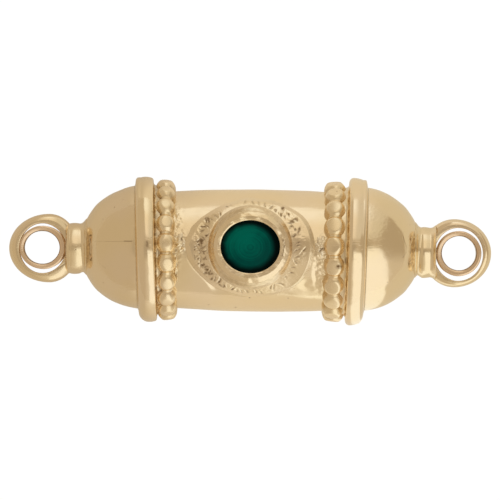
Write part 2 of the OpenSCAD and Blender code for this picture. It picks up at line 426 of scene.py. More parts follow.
def fine_line_group():
    """A fine line on the upper side of a piece, from one place to another in plan: 1 on it, 0 beside it."""
    g, at, out = new_group("fine line", "Shader", {
        "Vector": ORIGIN, "Start": ORIGIN, "End": ORIGIN, "Width": 0.04 * MM, "Wander": 0.1 * MM,
        "Strength": 1.0,
    }, {"Line": "Float"})
    drift = g.noise(at["Vector"], 1600.0, 2.0)
    shift = (drift - 0.5) * at["Wander"]
    flat = g.vector("MULTIPLY", at["Vector"], (1, 1, 0))
    flat = g.vector("ADD", flat, g.combine(shift, shift, 0.0))
    reach = g.vector("SUBTRACT", at["End"], at["Start"])
    from_start = g.vector("SUBTRACT", flat, at["Start"])
    share = g.vector("DOT_PRODUCT", from_start, reach) / g.vector("DOT_PRODUCT", reach, reach)
    along = g.get("VectorMath", "Vector", {"operation": "SCALE"}, i0=reach,
                  Scale=g.get("Clamp", 0, Value=share))
    line = g.remap(g.vector("DISTANCE", from_start, along) / at["Width"], 0.35, 1.0, 1.0, 0.0)
    upper = g.math("GREATER_THAN", g.separate(at["Vector"])[2], AXIS_Z * MM)
    g.fill(out, Line=line * g.remap(drift, 0.3, 0.6, 0.2, 1.0) * at["Strength"] * upper)
    return g.tree


HAND_POLISH = hand_polish_group()
# Brown painted shade for hollows, cuts, gaps and joins.
PAINTED_SHADE = painted_shade_group()
FINE_LINE = fine_line_group()

GOLD = (0.95, 0.79, 0.54, 1)
PINK_GOLD = (0.95, 0.796, 0.59, 1)
ROSY_GOLD = (0.9, 0.7, 0.52, 1)
# The brown of the painted shade in hollows.
PAINTED_SHADE_BROWN = (0.2, 0.115, 0.052, 1)


def make_gold(name, pits, swells, rough, gold=GOLD, second=PINK_GOLD, lines=()):
    """Polished gold, whose colour carries brown painted shade where a piece's sunk shade says, and whose
    worked shade makes it rough and grainy. Pits have a spacing and a depth, swells a size and a height, and
    the roughness is a smooth and a worn one. Each line is a fine dark mark of (x, y) at its start, (x, y) at
    its end, width and strength."""
    material = bpy.data.materials.new(name)
    g = open_tree(material)
    place_on = g.get("TexCoord", "Object")
    sunk, worked = (g.get("Attribute", "Fac", {"attribute_name": key}) for key in ("sunk", "worked"))
    marks = g.group(HAND_POLISH, Vector=place_on, Worked=worked, Pit_Spacing=pits[0] * MM,
                    Pit_Depth=pits[1], Swell_Size=swells[0] * MM, Swell_Height=swells[1],
                    Smooth_Roughness=rough[0], Worn_Roughness=rough[1])
    dark, height = marks["Pits"], marks["Height"]
    for start, end, width, strength in lines:
        start, end = ((x * MM, y * MM, 0) for x, y in (start, end))
        line = g.group(FINE_LINE, Vector=place_on, Start=start, End=end, Width=width * MM,
                       Strength=strength)["Line"]
        dark = g.math("MAXIMUM", dark, line)
        height = height - line
    # The colour, with painted shade where the piece is sunk, in pits and on the fine lines.
    colour = g.group(PAINTED_SHADE, Vector=place_on, Gold=gold, Rosy_Gold=second, Tarnish=PAINTED_SHADE_BROWN,
                     Sunk=sunk, Pits=dark)["Color"]
    relief = g.get("Bump", 0, Height=height, Distance=0.01 * MM, Strength=1.0)
    shader = g.get("BsdfPrincipled", 0, Base_Color=colour, Roughness=marks["Roughness"], Normal=relief,
                   Metallic=1.0)
    g.add("OutputMaterial", Surface=shader)
    return material


def make_green_stone():
    """Deep green polished stone, with a painted highlight at its upper left and painted shade, near black,
    round its edge.
    """
    material = bpy.data.materials.new("green stone")
    g = open_tree(material)
    place_on = g.get("TexCoord", "Object")
    centred = g.get("Mapping", 0, Vector=place_on, Location=(0, -SETTING_Y * MM, 0))
    flat = g.vector("MULTIPLY", centred, (0.95, 1.05, 0))
    streak = (g.noise(place_on, 1500.0, 5.0) - 0.5) * (1.1 * MM)
    # Painted shade round the edge, where the cup's wall shades the stone.
    edge_place = g.vector("DISTANCE", flat, (-0.08 * MM, 0.05 * MM, 0)) + streak * 0.25
    painted_rim_shade = g.remap(edge_place, 1.2 * MM, 1.6 * MM)
    # Faint circles left by polishing.
    circles = g.noise(g.combine(g.vector("LENGTH", flat), 0.0, 0.0), 9000.0, 2.0)
    streak = (circles - 0.5) * (2.2 * MM) + streak
    # A painted highlight at the upper left.
    lit_place = g.vector("DISTANCE", flat, (-0.45 * MM, 0.65 * MM, 0)) + streak
    lit = g.remap(lit_place, 0.2 * MM, 1.9 * MM, 1.0, 0.0)
    body = g.mix(lit, (0.0, 0.076, 0.07, 1), (0.0, 0.17, 0.14, 1))
    ripple = g.noise(place_on, 2600.0, 2.0)
    relief = g.get("Bump", 0, Height=ripple, Distance=0.004 * MM, Strength=1.0)
    shader = g.get("BsdfPrincipled", 0, Base_Color=g.mix(painted_rim_shade, body, (0.0, 0.007, 0.008, 1)), Normal=relief,
                   Roughness=g.remap(ripple, 0.4, 0.7, 0.2, 0.3), IOR=1.54, Specular_IOR_Level=0.02)
    g.add("OutputMaterial", Surface=shader)
    return material


# Fine marks on the domes. On the left one, a dark line with a faint groove in its bump: a painted reflection
# of the dark gap between the two panels, darkest in its second stretch; and a short scratch. On the right
# one, short scratches.
LEFT_DOME_PAINTED_GAP_LINE_AND_SCRATCH = [((-9.6, 0.44), (-7.2, 0.5), 0.04, 0.35), ((-7.75, 0.49), (-7.3, 0.49), 0.06, 0.9),
                   ((-9.3, -0.95), (-8.9, -1.2), 0.03, 0.4)]
RIGHT_DOME_MARKS = [((9.45, 0.95), (9.62, 0.4), 0.04, 0.7), ((9.62, 0.4), (9.62, -0.02), 0.05, 1.0),
                    ((9.62, -0.02), (9.45, -0.3), 0.035, 0.8)]
# A rough file mark on the left loop.
LEFT_LOOP_MARKS = [((-12.55, -1.62), (-12.0, -1.33), 0.06, 0.8), ((-12.0, -1.33), (-11.5, -0.95), 0.07, 1.0)]

TUBE_GOLD = make_gold("tube gold", pits=(0.8, 0.6), swells=(0.5, 0.25), rough=(0.12, 0.2))
CAP_GOLD = {
    LEFT: make_gold("left cap gold", (0.6, 0.6), (0.5, 0.15), (0.1, 0.18), lines=LEFT_DOME_PAINTED_GAP_LINE_AND_SCRATCH),
    RIGHT: make_gold("right cap gold", (0.45, 0.8), (0.5, 0.25), (0.1, 0.18), lines=RIGHT_DOME_MARKS)}
EYELET_GOLD = make_gold("eyelet gold", (0.6, 0.6), (0.5, 0.15), (0.14, 0.22), lines=LEFT_LOOP_MARKS)
BEAD_GOLD = make_gold("bead gold", (0.6, 0.8), (0.5, 0.3), (0.22, 0.32))
SEAT_GOLD = make_gold("seat gold", (0.4, 0.8), (0.25, 0.4), (0.16, 0.28))
BEZEL_GOLD = make_gold("bezel gold", (0.5, 0.6), (0.3, 0.35), (0.18, 0.28))
SOLDER_GOLD = make_gold("solder gold", (0.2, 1.4), (0.14, 1.2), (0.25, 0.4), second=(0.9, 0.83, 0.73, 1))
LINER_GOLD = make_gold("rosy liner gold", (0.6, 0.5), (0.5, 0.2), (0.2, 0.3), gold=ROSY_GOLD,
                       second=(0.87, 0.665, 0.48, 1))
GREEN_STONE = make_green_stone()


def outside_rows(outside, inside):
    """1 for the rows of a shell's outside and 0 for those of its inside."""
    return np.repeat([1.0, 0.0], [len(outside), len(inside)])[:, None]


def tube_radius(x):
    return TUBE_R - TUBE_ARC_R + np.sqrt(TUBE_ARC_R**2 - (x - TUBE_BELLY_X) ** 2)


def on_tube(x, y, height):
    """The point over a place in plan that stands a height off the tube."""
    return stacked(x, y, AXIS_Z + np.sqrt((tube_radius(x) + height) ** 2 - y**2))


def make_tube():
    x = np.linspace(-TUBE_HALF, TUBE_HALF, 190)
    outer = np.stack([x, tube_radius(x)], 1)
    inner = [[t * TUBE_HALF, TUBE_R - TUBE_WALL] for t in (1, 0.5, 0, -0.5, -1)]
    grid = turned(np.vstack([outer, inner]), 420, gathered=0.4)
    rise = 0.008 * waves(grid, 4, 3) + 0.002 * waves(grid, 1.1, 4)
    # Shallow hollows beside the seat's lower right edge.
    for x, y, reach in ((3.9, -2.1, (1.7, 1)), (3.65, -2.12, (0.75, 0.45)), (4.2, -1.4, (0.38, 1.3))):
        rise -= 0.03 * patch(grid, (x, y), reach)
    # The seat's lower left edge has sunk a little into the tube.
    across, along = grid[..., 1] - SETTING_Y, grid[..., 0]
    theta = np.arctan2(across, along)
    past_edge = np.hypot(across, along) - seat_edge(theta)
    lower_left = smooth_step(0.0, 0.3, -np.sin(theta)) * smooth_step(-0.05, 0.2, -np.cos(theta))
    at_patch = hump(theta, -2.22, 0.17)
    furrow = (0.02 + 0.03 * at_patch) * hump(past_edge, 0.03, 0.05 + 0.2 * at_patch)
    rise -= furrow * lower_left * (grid[..., 2] > AXIS_Z)
    # Rough gold where the seat's tips and the beaded wires were soldered on.
    worked = np.maximum.reduce([
        patch(grid, (-4.5, 0.4), (0.7, 1.2)), patch(grid, (4.5, -0.6), (0.7, 2.4)),
        0.7 * patch(grid, (-4.55, 0.8), (0.45, 3.2))])
    rise += worked * (0.012 * waves(grid, 0.26, 12) + 0.016 * waves(grid, 0.5, 13))
    push_out(grid, rise * outside_rows(outer, inner))
    from_end = TUBE_HALF - np.abs(grid[..., 0])
    # Painted shade near the tube's ends, where the beaded wires sit on it.
    make_piece("tube", grid, TUBE_GOLD, "gold", "barrel", sunk=0.3 * hump(from_end, 0.15, 0.3),
               worked=0.5 * worked)


def seat_edge(theta):
    """The seat's outline round the setting: an eye, more pointed at its left tip."""
    to_right = smooth_step(-0.3, 0.3, np.cos(theta))
    half_len = SEAT_LEFT_HALF + (SEAT_RIGHT_HALF - SEAT_LEFT_HALF) * to_right
    power = 1.75 + 0.5 * to_right
    round_edge = (np.abs(np.cos(theta) / half_len) ** power
                  + np.abs(np.sin(theta) / SEAT_HALF_W) ** power) ** (-1 / power)
    uneven = 0.03 * np.sin(5 * theta + 0.6) + 0.015 * np.sin(11 * theta + 2)
    return round_edge + uneven + 0.08 * hump(np.abs(theta - math.pi), 0, 0.12)


def seat_relief(rho, theta, edge):
    """The seat's height off the tube, and the share of painted shade at each point: in the cuts between the
    grains, and on dark specks.
    """
    rng = np.random.default_rng(11)
    plan = stacked(rho * np.cos(theta), rho * np.sin(theta), 0)
    # It rises towards the cup except at the right, where it is flat.
    to_left = smooth_step(0.1, 0.8, -np.cos(theta))
    at_tips = hump(np.sin(theta), 0, 0.4)
    lower_right = hump(theta, -0.75, 0.45)
    crown = SEAT_BORDER_RISE * (1 - 0.5 * at_tips)
    crown += 0.12 * to_left * (1 - smooth_step(GRAIN_IN_R, GRAIN_OUT_R, rho))
    crown += 0.05 * np.maximum(plan[..., 0] - 2.5, 0)
    crown *= 1 - 0.62 * lower_right
    base = crown * np.clip((edge - rho) / (0.2 + 0.1 * at_tips - 0.155 * lower_right), -0.15, 1)
    base += (0.001 + 0.004 * to_left) * waves(plan, 0.9, 5)
    outer = np.minimum(GRAIN_OUT_R + 0.3, edge - 0.1)
    band = smooth_step(GRAIN_IN_R - 0.05, GRAIN_IN_R + 0.05, rho)
    band *= 1 - smooth_step(outer - 0.08, outer, rho)
    # The cuts are deepest at the left and upper right, and shallow at the lower right.
    at_left, upper_right = hump(np.abs(theta), math.pi, 0.55), hump(theta, 0.8, 0.4)
    strength = 0.65 + 0.5 * at_left + 0.4 * upper_right + 0.4 * hump(theta, -2.3, 0.45)
    strength = strength - 0.1 * hump(theta, -0.7, 0.4) - 0.25 * hump(theta, 1.7, 0.5)
    cut, burr, dark = np.zeros_like(rho), np.zeros_like(rho), np.zeros_like(rho)

    def cut_grain(angle, middle_r, length, width, depth, slant):
        across = (theta - angle + math.pi) % FULL_TURN - math.pi
        shape = hump(rho, middle_r, length) * (np.abs(across) < 0.5)
        bend = 0.036 * ((rho - middle_r) / length) ** 2 * np.sign(slant)
        bent = across * rho - slant * (rho - middle_r) + bend
        ridge = rng.choice([-1, 1]) * 1.9 * width
        np.maximum(cut, depth * shape * hump(bent, 0, width), out=cut)
        np.maximum(dark, np.clip(depth / 0.04, 0.6, 1) * shape * hump(bent, 0, 0.9 * width), out=dark)
        np.maximum(burr, 0.3 * depth * shape * hump(bent, ridge, width), out=burr)

    for k in range(GRAIN_N):
        angle = (k + rng.uniform(-0.35, 0.35)) * FULL_TURN / GRAIN_N
        cut_grain(angle, rng.uniform(2.76, 3.0), rng.uniform(0.07, 0.2), rng.uniform(0.05, 0.085),
                  rng.uniform(0.02, 0.06), rng.uniform(-0.7, 0.7))
    # A second row of grains where the seat is wide: at the left, upper right and lower left.
    for low, high, count in ((2.55, 3.75, 30), (0.35, 1.0, 9), (-0.35, 0.3, 5), (-2.6, -2.0, 12)):
        for angle in rng.uniform(low, high, count):
            cut_grain(angle, rng.uniform(2.95, 3.3), rng.uniform(0.05, 0.16), rng.uniform(0.05, 0.11),
                      rng.uniform(0.02, 0.06), rng.uniform(-1, 1))
    lumps = 0.006 * waves(plan, 0.34, 6) + 0.003 * waves(plan, 0.16, 7)
    lumps *= 0.25 + at_left + 0.4 * upper_right + 0.5 * hump(theta, -2.4, 0.35)
    speck = smooth_step(0.6, 1.5, waves(plan, 0.2, 9, count=30)) * (
        at_left * (0.5 + 0.5 * np.sign(-theta * (np.abs(theta) < math.pi))) + 0.3 * hump(theta, -2.4, 0.4))
    # Painted shade in the cuts, with dark specks.
    sunk = np.clip(np.maximum(1.6 * dark * strength, 0.9 * speck), 0, 1)
    return base + band * (lumps + (burr - 0.6 * cut) * strength), 0.9 * band * sunk


def make_seat():
    columns, rows = 960, 66
    theta = (full_circle(columns) + math.pi) % FULL_TURN - math.pi
    edge = seat_edge(theta)
    start = GRAIN_IN_R - 0.14
    rho = start + np.linspace(0, 1, rows)[:, None] ** 0.92 * (edge + 0.03 - start)
    height, sunk = seat_relief(rho, np.broadcast_to(theta, rho.shape), edge)
    # Painted shade along the seat's right border.
    border = (1 - smooth_step(0.12, 0.34, edge - rho)) * smooth_step(0.1, 0.6, np.cos(theta))
    sunk = np.maximum(sunk, 0.12 * border)
    # The last row is the seat's foot, inside the tube.
    rho, height, sunk = (np.vstack([values, np.full(columns, last)])
                         for values, last in ((rho, start), (height, -0.15), (sunk, 0.2)))
    grid = on_tube(rho * np.cos(theta), SETTING_Y + rho * np.sin(theta), height)
    at_tips = smooth_step(3.3, 3.9, np.abs(grid[..., 0]))
    grained = hump(rho, 2.95, 0.35) * hump(np.abs(theta), math.pi, 0.7)
    worked = 0.3 * np.maximum(at_tips, grained)
    make_piece("seat", grid, SEAT_GOLD, "gold", "barrel", sunk=sunk, worked=worked)


def make_bezel():
    """The cup round the stone: a flared foot and a round rim that is pushed over the stone by hand,
    so that its opening is a little wider along the bead than across it."""
    rim_r, lip_r, lip_z = 2.31, 1.81, 4.3
    seat_top = TUBE_R + SEAT_RISE
    profile = rounded([
        (BEZEL_FOOT_R, CUP_FOOT_Z, 0),
        (BEZEL_FOOT_R, seat_top - 0.12, 0.04),
        (rim_r + 0.01, BEZEL_TOP - 0.3, 0.06),
        (rim_r - 0.06, BEZEL_TOP - 0.24, 0.06),
        (rim_r - 0.24, BEZEL_TOP - 0.13, 0.12),
        (lip_r + 0.09, BEZEL_TOP - 0.13, 0.1),
        (lip_r, BEZEL_TOP - 0.15, 0),
        (lip_r, lip_z, 0.01),
        (lip_r + 0.1, lip_z - 0.05, 0),
        (BEZEL_FOOT_R - 0.4, CUP_FOOT_Z, 0),
    ])
    grid = upright(spaced_ring(profile, 0.03), 360)
    height = grid[..., 2] - AXIS_Z
    from_middle = np.hypot(grid[..., 0], grid[..., 1])
    inward = smooth_step(rim_r, lip_r, from_middle) * (height > lip_z - 0.15)
    up = np.maximum(smooth_step(seat_top + 0.1, seat_top + 0.4, height), inward)
    grid[..., 0] *= 1 + 0.012 * up
    grid[..., 1] *= 1 - 0.047 * up - 0.05 * inward
    grid[..., 0] += 0.08 * up * (1 - 0.85 * inward)
    grid[..., 1] += SETTING_Y + 0.03 * inward
    uneven = 0.014 * waves(grid, 0.9, 8) + 0.004 * waves(grid, 0.3, 9)
    bruise = np.maximum(bump_at(grid, 2.04, 0.65, 0.2), 0.5 * bump_at(grid, -2.25, -0.1, 0.5)) * up
    grid[..., 2] += up * (uneven - 0.02) + 0.018 * bruise * waves(grid, 0.17, 10)
    nicks = np.maximum.reduce([patch(grid, (x, y), (0.07, 0.16)) for x, y in (
        (2.02, 0.66), (2.12, 0.5), (2.1, 0.28), (2.05, 0.02), (1.98, -0.25))])
    grid[..., 2] += 0.03 * bump_at(grid, -0.1, -1.84, 0.16) * up
    # Painted shade on the low wall, standing in for the brown of gold reflected in gold; the nicks on the
    # crest are dark.
    low = 1 - smooth_step(BEZEL_TOP - 0.32, BEZEL_TOP - 0.24, height)
    make_piece("bezel", grid, BEZEL_GOLD, "gold", "bezel_cup",
               sunk=np.maximum(0.22 * low * (1 - inward), 0.7 * nicks), worked=0.5 * bruise)


def make_stone():
    dome = STONE_TOP - GIRDLE_HIGH
    ball_r = (STONE_R**2 + dome**2) / (2 * dome)
    r = np.linspace(STONE_R, 0, 40)
    cap = np.stack([r, STONE_TOP - ball_r + np.sqrt(ball_r**2 - r**2)], 1)
    under = rounded([(0, GIRDLE_LOW, 0), (STONE_R, GIRDLE_LOW, 0.05), (STONE_R, GIRDLE_HIGH - 0.01, 0)])
    grid = upright(np.vstack([under, cap]), 180, y=SETTING_Y)
    make_piece("cabochon", grid, GREEN_STONE, "green_stone", "stone", closed=False)


def beaded_wire_tree():
    """Beads on a wire round the bead's axis: worn flat on their outsides and not quite even."""
    g, at, out = new_group("beaded wire", "Geometry", {
        "Count": BEAD_N, "Circle Radius": BEAD_CIRCLE_R * MM, "Bead Radius": 0.7 * MM,
        "Bead Length": 0.86, "Worn Height": 0.88, "Worn Crown": 0.1, "Worn Tilt": 0.05,
        "Uneven Tilt": 0.05, "Uneven Place": 0.03 * MM, "Wire Radius": 0.5 * MM, "First Angle": 0.0,
        "Centre": ORIGIN, "Seed": 1, "Material": None,
    }, {"Geometry": "Geometry"})

    def shape(kind, **inputs):
        return g.get("GeometryNode" + kind, 0, **inputs)

    def same(value):
        return g.combine(value, value, value)

    def random_vector(reach, seed_step):
        return g.get("FunctionNodeRandomValue", 0, {"data_type": "FLOAT_VECTOR"}, i0=same(reach * -1.0),
                     i1=same(reach), Seed=at["Seed"] + seed_step)

    def aligned(vector, settings, **inputs):
        return g.get("FunctionNodeAlignRotationToVector", 0, settings, Vector=vector, **inputs)

    spot = shape("InputPosition")
    x, y, z = g.separate(spot)
    worn_top = at["Worn Height"] - (x * x + y * y) * at["Worn Crown"]
    top = g.math("SMOOTH_MIN", z, worn_top, 0.08)
    worn = shape("SetPosition", Geometry=shape("MeshUVSphere", Segments=36, Rings=28, Radius=1.0),
                 Position=g.combine(x * at["Bead Length"], y, top))
    circle = shape("MeshCircle", Vertices=at["Count"], Radius=at["Circle Radius"])
    moved = shape("SetPosition", Geometry=circle, Offset=random_vector(at["Uneven Place"], 1.0))
    outward = aligned(spot, {"axis": "Z", "pivot_axis": "X"}, Rotation=aligned((0, 0, 1), {"axis": "X"}))
    size = g.get("FunctionNodeRandomValue", 1, {"data_type": "FLOAT"}, i2=0.97, i3=1.02, Seed=at["Seed"])
    beads = shape("InstanceOnPoints", Points=moved, Instance=worn, Rotation=outward,
                  Scale=same(size * at["Bead Radius"]))
    lean = g.vector("ADD", random_vector(at["Uneven Tilt"], 2.0), g.combine(0.0, at["Worn Tilt"], 0.0))
    tilted = shape("RotateInstances", Instances=beads, Rotation=lean)
    core = shape("CurvePrimitiveCircle", Resolution=120, Radius=at["Circle Radius"])
    round_wire = shape("CurvePrimitiveCircle", Resolution=20, Radius=at["Wire Radius"])
    joined = g.add("GeometryNodeJoinGeometry")
    for part in (tilted, shape("CurveToMesh", Curve=core, Profile_Curve=round_wire)):
        g.fill(joined, i0=part)
    spun = shape("Transform", Geometry=Value(g, joined.outputs[0]),
                 Rotation=g.combine(0.0, 0.0, at["First Angle"]))
    stood = shape("Transform", Geometry=spun, Translation=at["Centre"], Rotation=(0, math.pi / 2, 0))
    soft = shape("SetShadeSmooth", Geometry=shape("RealizeInstances", Geometry=stood))
    g.fill(out, Geometry=shape("SetMaterial", Geometry=soft, Material=at["Material"]))
    return g.tree


def grow(name, tree, values):
    """The plain mesh that a Geometry Nodes tree makes from named values."""
    holder = link_new(name, bpy.data.meshes.new(name))
    modifier = holder.modifiers.new("grow", "NODES")
    modifier.node_group = tree
    for socket in tree.interface.items_tree:
        if socket.item_type == "SOCKET" and socket.in_out == "INPUT" and socket.name in values:
            modifier[socket.identifier] = values[socket.name]
    made = bpy.data.meshes.new_from_object(holder.evaluated_get(bpy.context.evaluated_depsgraph_get()))
    holder.modifiers.clear()
    holder.data = made
    made.name = name
    return holder


def make_beaded_ring(side, crevice, dark_spots, wire_r, **values):
    """A ring of worn beads, which leans a little. The low parts between the beads and the wire carry painted
    shade, most beside the rim; each dark spot is (x, y, reach) in plan."""
    values = {key.replace("_", " "): value for key, value in values.items()}
    centre = (side * BEAD_RING_X * MM, 0, AXIS_Z * MM)
    values |= {"Centre": centre, "Wire Radius": wire_r * MM, "Material": BEAD_GOLD}
    ring = grow(f"beads_{SIDE_NAMES[side]}", BEADED_WIRE, values)
    mesh = ring.data
    points = np.empty(len(mesh.vertices) * 3, np.float32)
    mesh.vertices.foreach_get("co", points)
    points = points.reshape(-1, 3).astype(float) / MM
    from_axis = np.hypot(points[:, 1], points[:, 2] - AXIS_Z)
    outwards = side * points[:, 0] - BEAD_RING_X
    on_wire = np.abs(np.hypot(from_axis - BEAD_CIRCLE_R, outwards) - wire_r) < 0.012
    # Painted shade low between the beads, and on the wire beside the rim.
    sunk = np.maximum(0.25 * (1 - smooth_step(3.95, 4.2, from_axis)),
                      crevice * on_wire * smooth_step(0.1, 0.3, outwards))
    for x, y, reach in dark_spots:
        sunk = np.maximum(sunk, patch(points, (x, y), (reach, 0.7 * reach)))
    keep_shade(mesh, "sunk", sunk)
    points[:, 0] += side * math.tan(RING_LEAN[side]) * points[:, 1]
    mesh.vertices.foreach_set("co", (points * MM).ravel().astype(np.float32))
    mesh.update()
    place(ring, f"beaded_ring_{SIDE_NAMES[side]}")


def make_sided(side, name, grid, material, node, slot="gold", **shades):
    """The piece of one end, from a grid that is drawn for the right end."""
    grid[..., 0] *= side
    make_piece(f"{name}_{SIDE_NAMES[side]}", grid, material, slot, f"{node}_{SIDE_NAMES[side]}", **shades)


def rim_outline(side, crest, crown_r, bead_round, flare):
    """The rim from the beads to the dome: a fillet of solder by the beads, a crown, and the flare
    down to the dome, given as (along, radius, rounding)."""
    start, width, back = RIM_X[side], RIM_W[side], RIM_X[side] - 0.45
    u = (1 - np.cos(np.linspace(0, math.pi / 2, 30))) * width
    radius = RIM_R[side] - (u - crest) ** 2 / (2 * crown_r) - quarter_drop(bead_round - u, bead_round)
    fillet = rounded([(back, MOUTH_R, 0), (back, FILLET_R, 0.02), (start, FILLET_R, 0.2),
                      (start, radius[0], 0)])
    end_r = math.sqrt(DOME_R[side]**2 - (DOME_START_X[side] - DOME_X[side]) ** 2) + 0.02
    slope = rounded([(start + width, radius[-1], 0), *flare, (DOME_START_X[side], end_r, 0)])
    return spaced(np.vstack([fillet, np.stack([start + u, radius], 1)[1:], slope[1:]]), 0.07)


def make_cap(side, dark_spots, **rim_shape):
    """A domed end cap: its rim leans a little, and the dome sits a little off the rim's centre. Each
    dark spot is (x, y, reach along, reach across) in plan."""
    dome_start, middle_x, dome_r = DOME_START_X[side], DOME_X[side], DOME_R[side]

    def arc(r, first, last, count):
        angle = np.linspace(first, last, count)
        return np.stack([middle_x + r * np.cos(angle), r * np.sin(angle)], 1)

    rim = rim_outline(side, **rim_shape)
    dome = arc(dome_r, math.acos((dome_start - middle_x) / dome_r), math.asin(NECK_R / dome_r), 80)
    dome[:, 1] += 0.03 * hump(dome[:, 0], 9.6, 0.26) - FLAT_SIDE[side] * hump(dome[:, 0], 8.2, 0.8)
    outside = np.vstack([rim, dome])
    inner_r = dome_r - CAP_WALL
    inside = np.vstack([[dome[-1, 0], PEG_HOLE_R],
                        arc(inner_r, math.asin(PEG_HOLE_R / inner_r), math.pi / 2, 14),
                        [rim[0, 0], inner_r]])
    off = np.append(smooth_step(RIM_X[side] + RIM_W[side], dome_start, outside[:, 0]), np.ones(len(inside)))
    outline = np.column_stack([np.vstack([outside, inside]), DOME_OFF[side] * off])
    grid = turned(outline, 320)
    shown = outside_rows(outside, inside)
    swell = 0.008 * waves(grid, 3.2, 20 + side) + 0.0025 * waves(grid, 0.9, 30 + side)
    push_out(grid, swell * shown)
    lean = 1 - smooth_step(dome_start, dome_start + 1.2, grid[..., 0])
    grid[..., 0] += math.tan(RIM_LEAN[side]) * grid[..., 1] * lean
    grid[..., 2] = np.maximum(grid[..., 2], 0)
    along, radius = outline[:, 0, None], outline[:, 1, None]
    # Painted shade in the gap between the rim and the beads, and where the flare meets the dome.
    in_gap = (1 - smooth_step(RIM_X[side], RIM_X[side] + 0.1, along)) * (radius < 4.3)
    at_foot = hump(along, dome_start, 0.05) * (radius > dome_r - 0.2)
    # A painted reflection of the neck on the dome round the neck, in a lens shape on top, in the brown of
    # the painted shade.
    lens_start = 9.86 + 0.36 * (grid[..., 1] / 1.4) ** 2
    at_neck = smooth_step(lens_start, lens_start + 0.05, along) * shown
    sunk = np.maximum(np.maximum(GAP_PAINTED_SHADE[side] * in_gap, 0.2 * at_foot), 0.45 * at_neck)
    for x, y, reach_x, reach_y in dark_spots:
        sunk = np.maximum(sunk, 0.7 * patch(grid, (x, y), (reach_x, reach_y)) * shown)
    brushed = patch(grid, (7.7, 1.9), (1.0, 2.2)) * shown * (side == RIGHT)
    make_sided(side, "cap", grid, CAP_GOLD[side], "end_cap", sunk=sunk,
               worked=np.maximum(0.45 * brushed, 0.25 * at_neck))


def make_neck(side, points):
    """The short neck with its swelling collar, which is rounded off at the loop. Its outline is given
    from the dome to the loop as (along, radius)."""
    dome_end, end_x, knots = DOME_END_X[side], NECK_END_X[side], np.array(points)
    x = np.linspace(knots[0, 0], knots[-1, 0], 44)
    outer = np.stack([x, smooth_curve(x, knots)], 1)
    end = rounded([(*outer[-1], 0), (end_x, outer[-1, 1], 0.26), (end_x, 0.6, 0)], 10)
    outline = spaced_ring(np.vstack([
        [dome_end - 0.3, 0.6], [dome_end - 0.3, knots[0, 1]], outer, end[1:]]), 0.05)
    off = DOME_OFF[side] * (1 - smooth_step(dome_end, dome_end + 0.35, outline[:, 0]))
    grid = turned(np.column_stack([outline, off]), 220)
    grid += 0.003 * waves(grid, 0.8, 41 + side)[..., None] * [0, 1, 1]
    # Painted shade where the neck meets the dome and the loop.
    at_foot = hump(grid[..., 0], dome_end, 0.06)
    at_end = smooth_step(end_x - 0.03, end_x, grid[..., 0])
    make_sided(side, "neck", grid, EYELET_GOLD, "eyelet", sunk=np.maximum(0.2 * at_foot, 0.6 * at_end))


def oval(count, middle_x, middle_y, far, near, half_y):
    """The points round an oval, whose half length is far outwards and near inwards."""
    angle = full_circle(count)
    reach = np.where(np.cos(angle) > 0, far, near)
    return middle_x + reach * np.cos(angle), middle_y + half_y * np.sin(angle)


def ring_between(inner, outer, section):
    """A ring from an inner oval to an outer one; its section is (share of the way out, height)."""
    share, height = section[:, 0, None], section[:, 1, None]
    x, y = (start + (end - start) * share for start, end in zip(inner, outer))
    return stacked(x, y, AXIS_Z + height), share


def make_loop(side, outer, inner):
    """The loop round the eyelet: an uneven oval outside, an oval opening that the neck cuts off, and
    half round. Each oval is (middle x, middle y, half length outwards, half length inwards, half width)."""
    (out_x, out_y), (in_x, in_y) = oval(260, *outer), oval(260, *inner)
    out_x *= LOOP_END_X / out_x.max()
    in_x = np.maximum(in_x, NECK_END_X[side] - 0.02)
    half_h, edge_r = LOOP_H / 2, 0.07
    turn = np.linspace(math.pi / 2, -math.pi / 2, 30)
    bulge = np.stack([0.3 + 0.7 * np.cos(turn), half_h * np.sin(turn)], 1)
    turn = np.linspace(-math.pi / 2, -math.pi, 8)
    low = np.stack([0.1 + 0.1 * np.cos(turn), edge_r - half_h + edge_r * np.sin(turn)], 1)
    section = np.vstack([bulge, low, low[::-1] * [1, -1]])
    grid, share = ring_between((in_x, in_y), (out_x, out_y), section)
    grid[..., 2] += 0.012 * waves(grid, 1.6, 51 + side) * (share > 0.3)
    # Painted shade round the inner edge of the opening.
    make_sided(side, "loop", grid, EYELET_GOLD, "eyelet", sunk=0.15 * (1 - smooth_step(0.0, 0.1, share)))


def make_liner(side, hole, outer):
    """The thinner, rosier ring that lines the loop: its inner edge is well rounded and dark with painted
    shade, and its outer edge is sharp. Each is an oval of (middle x, middle y, half length, half width)."""
    top = rounded([(0, -0.3, 0), (0, 0.5, 0.42), (0.7, 0.62, 0.3), (1, 0.5, 0), (1, -0.3, 0)], 7)
    top[:, 1] = LINER_H / 2 + 0.3 * (top[:, 1] - 0.6)
    hole, outer = (oval(200, x, y, half_x, half_x, half_y) for x, y, half_x, half_y in (hole, outer))
    grid, share = ring_between(hole, outer, np.vstack([top, top[::-1] * [1, -1]]))
    grid[..., :2] += 0.006 * waves(grid, 1.2, 61 + side)[..., None]
    # Painted shade on the inner edge.
    make_sided(side, "liner", grid, LINER_GOLD, "eyelet", "rosy_gold",
               sunk=0.95 * (1 - smooth_step(0.0, 0.14, share)))


